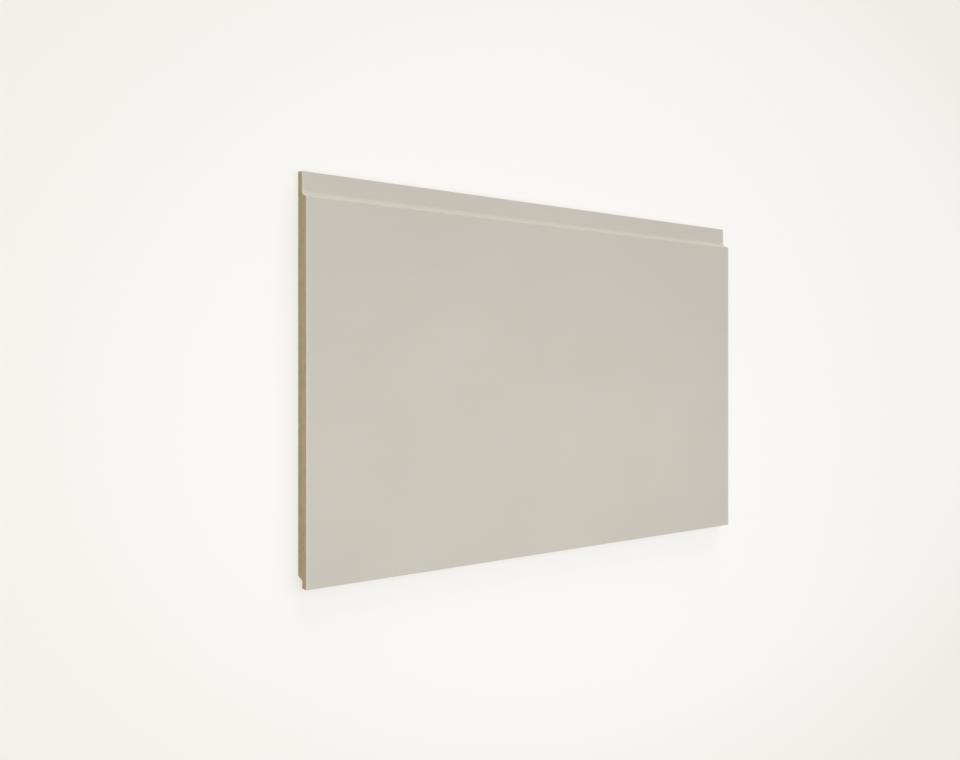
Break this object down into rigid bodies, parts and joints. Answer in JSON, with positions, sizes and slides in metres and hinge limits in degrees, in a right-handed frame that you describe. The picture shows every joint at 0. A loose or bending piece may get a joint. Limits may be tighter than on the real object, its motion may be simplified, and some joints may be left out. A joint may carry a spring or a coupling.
{
  "type": "fibre cement cladding board",
  "caption": "Length of rebated fibre cement cladding board: smooth painted face, set-back tongue along the top, lapping lip along the bottom and raw sawn ends.",
  "frame": {"origin": "on the back face, at the middle of the board's outline, with the board lying face up", "axes": "+X along the board, +Y from the lower edge to the tongue, +Z out of the painted face"},
  "size_m": [0.508, 0.325, 0.014],
  "materials": {
    "fibre_cement": "matt greige paint on the face, the tongue and the lower edge; raw khaki fibre cement on the sawn ends and the back"
  },
  "bodies": {
    "root": {"cladding_board": "fibre_cement"}
  },
  "joints": []
}
